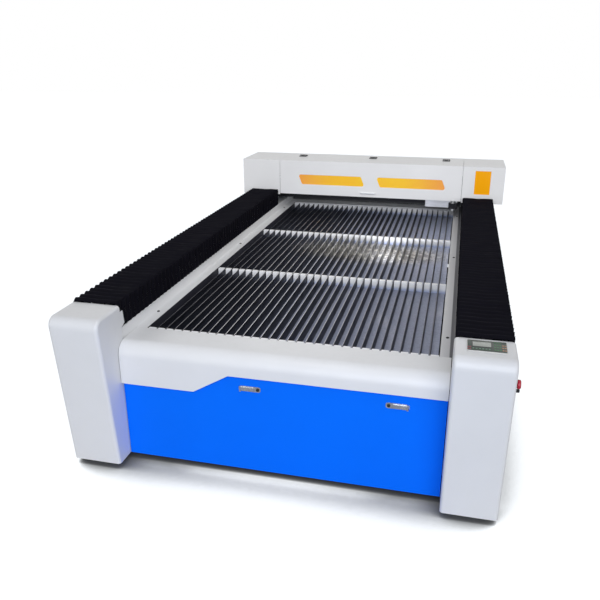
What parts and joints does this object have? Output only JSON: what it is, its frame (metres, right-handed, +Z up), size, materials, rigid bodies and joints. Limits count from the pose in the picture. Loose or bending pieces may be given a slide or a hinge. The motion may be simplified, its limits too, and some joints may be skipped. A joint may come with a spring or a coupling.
{
  "type": "carbon dioxide laser cutting machine",
  "caption": "Flat-bed laser cutter with a slatted table, pleated side covers and a travelling enclosed gantry.",
  "frame": {"origin": "on the floor, under the middle of the machine", "axes": "+X to the right seen from the door side, +Y to the rear along the table, +Z up"},
  "size_m": [2.254, 3.918, 1.125],
  "materials": {
    "white_paint": "satin",
    "blue_paint": "satin",
    "frame_paint": "satin",
    "dark_paint": "satin",
    "comb_paint": "satin",
    "blade_metal": "satin",
    "tray_metal": "satin",
    "bellows_cloth": "matte",
    "steel": "satin",
    "belt_rubber": "matte",
    "motor_black": "satin",
    "aluminium": "satin",
    "black_anodised": "satin",
    "amber_acrylic": "gloss",
    "laser_glass": "gloss",
    "black_plastic": "matte",
    "panel_plastic": "gloss",
    "red_plastic": "gloss",
    "latch_chrome": "satin"
  },
  "bodies": {
    "root": {"base_frame": "frame_paint", "levelling_feet": "steel", "side_beams": "frame_paint", "front_pod_right": "white_paint", "front_pod_left": "white_paint", "apron": "white_paint", "side_rims": "white_paint", "rear_rim": "white_paint", "side_panels": "white_paint", "rear_cap_right": "white_paint", "rear_cap_left": "white_paint", "rear_panel": "white_paint", "shaft_cover": "dark_paint", "comb_bars": "comb_paint", "blade_slats": "blade_metal", "debris_trays": "tray_metal", "front_bellows_right": "bellows_cloth", "front_bellows_left": "bellows_cloth", "rear_bellows_right": "bellows_cloth", "rear_bellows_left": "bellows_cloth", "linear_rails": "steel", "long_belts": "belt_rubber", "idler_brackets": "steel", "shaft_bearings": "motor_black", "drive_motor": "motor_black", "door_hinge_arms": "steel", "control_panel": "panel_plastic", "stop_collar": "black_plastic"},
    "drive_shaft": {"drive_shaft": "steel"},
    "idlers": {"idler_pulleys": "aluminium"},
    "gantry": {"cross_beam": "black_anodised", "gantry_feet": "aluminium", "rail_blocks": "steel", "gantry_end_right": "white_paint", "gantry_end_left": "white_paint", "gantry_back_cover": "white_paint", "end_window": "amber_acrylic", "lid_hinge_bases": "black_plastic", "x_rail": "steel", "cross_belt": "belt_rubber", "x_motor": "motor_black", "laser_tube": "laser_glass", "tube_clamps": "aluminium"},
    "lid": {"lid_cover": "white_paint", "lid_windows": "amber_acrylic", "lid_hinge_leaves": "black_plastic", "lid_handle": "aluminium"},
    "x_drive_wheel": {"x_drive_pulley": "aluminium"},
    "x_idler_wheel": {"x_idler_pulley": "aluminium"},
    "head": {"head_carriage": "aluminium", "lens_holder": "black_anodised"},
    "lens": {"lens_tube": "aluminium"},
    "door": {"front_door": "blue_paint", "latch_bodies": "latch_chrome"},
    "paddle_left": {"latch_paddle_left": "latch_chrome"},
    "paddle_right": {"latch_paddle_right": "latch_chrome"},
    "button_left": {"latch_button_left": "black_plastic"},
    "button_right": {"latch_button_right": "black_plastic"},
    "stop_button": {"stop_button": "red_plastic"},
    "key": {"key_switch": "latch_chrome"}
  },
  "joints": [
    {"name": "gantry_slide", "type": "slide", "parent": "root", "child": "gantry", "axis": [0, -1, 0], "range_m": [0, 2.5], "deforming": ["front_bellows_right", "front_bellows_left", "rear_bellows_right", "rear_bellows_left"]},
    {"name": "drive_shaft_spin", "type": "hinge", "parent": "root", "child": "drive_shaft", "pos_m": [0, 1.8855, 0.766], "axis": [1, 0, 0], "continuous": true},
    {"name": "idler_spin", "type": "hinge", "parent": "root", "child": "idlers", "pos_m": [0, -1.651, 0.766], "axis": [1, 0, 0], "continuous": true},
    {"name": "lid_hinge", "type": "hinge", "parent": "gantry", "child": "lid", "pos_m": [0, 1.489, 1.119], "axis": [-1, 0, 0], "range_deg": [0, 95]},
    {"name": "head_slide", "type": "slide", "parent": "gantry", "child": "head", "axis": [-1, 0, 0], "range_m": [0, 1.3]},
    {"name": "x_drive_spin", "type": "hinge", "parent": "gantry", "child": "x_drive_wheel", "pos_m": [0.83, 1.3415, 0.952], "axis": [0, 1, 0], "continuous": true},
    {"name": "x_idler_spin", "type": "hinge", "parent": "gantry", "child": "x_idler_wheel", "pos_m": [-0.83, 1.3415, 0.952], "axis": [0, 1, 0], "continuous": true},
    {"name": "lens_focus", "type": "slide", "parent": "head", "child": "lens", "axis": [0, 0, 1], "range_m": [-0.01, 0.03]},
    {"name": "door_hinge", "type": "hinge", "parent": "root", "child": "door", "pos_m": [0, -1.768, 0.049], "axis": [1, 0, 0], "range_deg": [0, 90]},
    {"name": "latch_paddle_left_hinge", "type": "hinge", "parent": "door", "child": "paddle_left", "pos_m": [-0.174, -1.7873, 0.492], "axis": [0, 0, -1], "range_deg": [0, 60]},
    {"name": "latch_paddle_right_hinge", "type": "hinge", "parent": "door", "child": "paddle_right", "pos_m": [0.618, -1.7873, 0.492], "axis": [0, 0, 1], "range_deg": [0, 60]},
    {"name": "latch_button_left_push", "type": "slide", "parent": "door", "child": "button_left", "axis": [0, 1, 0], "range_m": [0, 0.003], "stiffness_N_per_m": 500, "springref_m": -0.004},
    {"name": "latch_button_right_push", "type": "slide", "parent": "door", "child": "button_right", "axis": [0, 1, 0], "range_m": [0, 0.003], "stiffness_N_per_m": 500, "springref_m": -0.004},
    {"name": "stop_button_push", "type": "slide", "parent": "root", "child": "stop_button", "axis": [-1, 0, 0], "range_m": [0, 0.004], "stiffness_N_per_m": 2000, "springref_m": -0.003},
    {"name": "key_turn", "type": "hinge", "parent": "root", "child": "key", "pos_m": [0, -1.829, 0.659], "axis": [1, 0, 0], "range_deg": [0, 90]}
  ],
  "couplings": [
    {"joint": "drive_shaft_spin", "follows": "gantry_slide", "rad_per_m": 31.447},
    {"joint": "idler_spin", "follows": "gantry_slide", "rad_per_m": 31.447},
    {"joint": "x_drive_spin", "follows": "head_slide", "rad_per_m": 46.948},
    {"joint": "x_idler_spin", "follows": "head_slide", "rad_per_m": 46.948}
  ]
}
